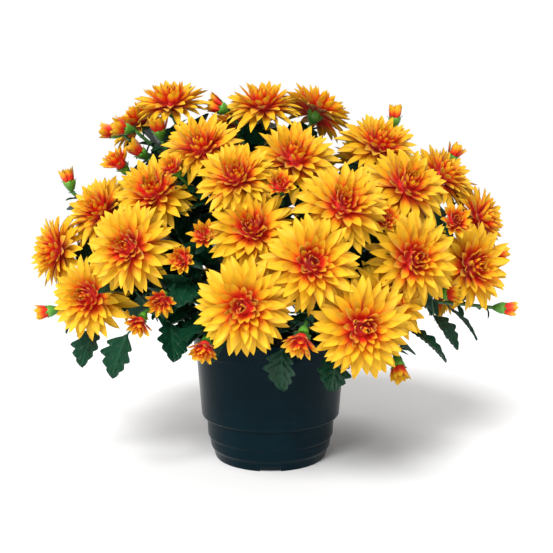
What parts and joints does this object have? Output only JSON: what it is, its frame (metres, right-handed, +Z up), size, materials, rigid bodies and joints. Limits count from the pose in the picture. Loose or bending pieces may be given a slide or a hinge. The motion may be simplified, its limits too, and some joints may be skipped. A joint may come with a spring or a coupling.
{
  "type": "pot chrysanthemum",
  "caption": "Bushy pot chrysanthemum in a round stepped nursery pot, with double red-hearted yellow flower heads, half-open heads, buds and lobed leaves.",
  "frame": {"origin": "on the pot's axis, at the bottom of its foot ring", "axes": "+Z up along the pot's axis, -Y towards the side seen in the picture, +X to that view's right"},
  "size_m": [0.4732, 0.3747, 0.3733],
  "materials": {
    "pot_plastic": "satin",
    "soil": "matte",
    "leaf_and_stem": "satin",
    "petals": "matte",
    "young_petals": "matte"
  },
  "bodies": {
    "root": {"pot": "pot_plastic", "soil": "soil", "plant_middle": "leaf_and_stem", "plant_front_left": "leaf_and_stem", "plant_front_right": "leaf_and_stem", "plant_back_left": "leaf_and_stem", "plant_back_right": "leaf_and_stem", "bloom_01": "petals", "bloom_02": "petals", "bloom_03": "petals", "bloom_04": "petals", "bloom_05": "petals", "bloom_06": "petals", "bloom_07": "petals", "bloom_08": "petals", "bloom_09": "petals", "bloom_10": "petals", "bloom_11": "petals", "bloom_12": "petals", "bloom_13": "petals", "bloom_14": "petals", "bloom_15": "petals", "bloom_16": "petals", "bloom_17": "petals", "bloom_18": "petals", "bloom_19": "petals", "bloom_20": "petals", "bloom_21": "petals", "bloom_22": "petals", "bloom_23": "petals", "bloom_24": "petals", "bloom_25": "petals", "bloom_26": "petals", "bloom_27": "petals", "bloom_28": "petals", "bloom_29": "petals", "bloom_30": "petals", "bloom_31": "petals", "bloom_32": "petals", "bloom_33": "petals", "bloom_34": "petals", "bloom_35": "petals", "bloom_36": "petals", "bloom_37": "petals", "young_head_01": "young_petals", "young_head_02": "young_petals", "young_head_03": "young_petals", "young_head_04": "young_petals", "young_head_05": "young_petals", "young_head_06": "young_petals", "young_head_07": "young_petals", "young_head_08": "young_petals", "young_head_09": "young_petals", "young_head_10": "young_petals", "young_head_11": "young_petals", "young_head_12": "young_petals", "young_head_13": "young_petals"}
  },
  "joints": []
}
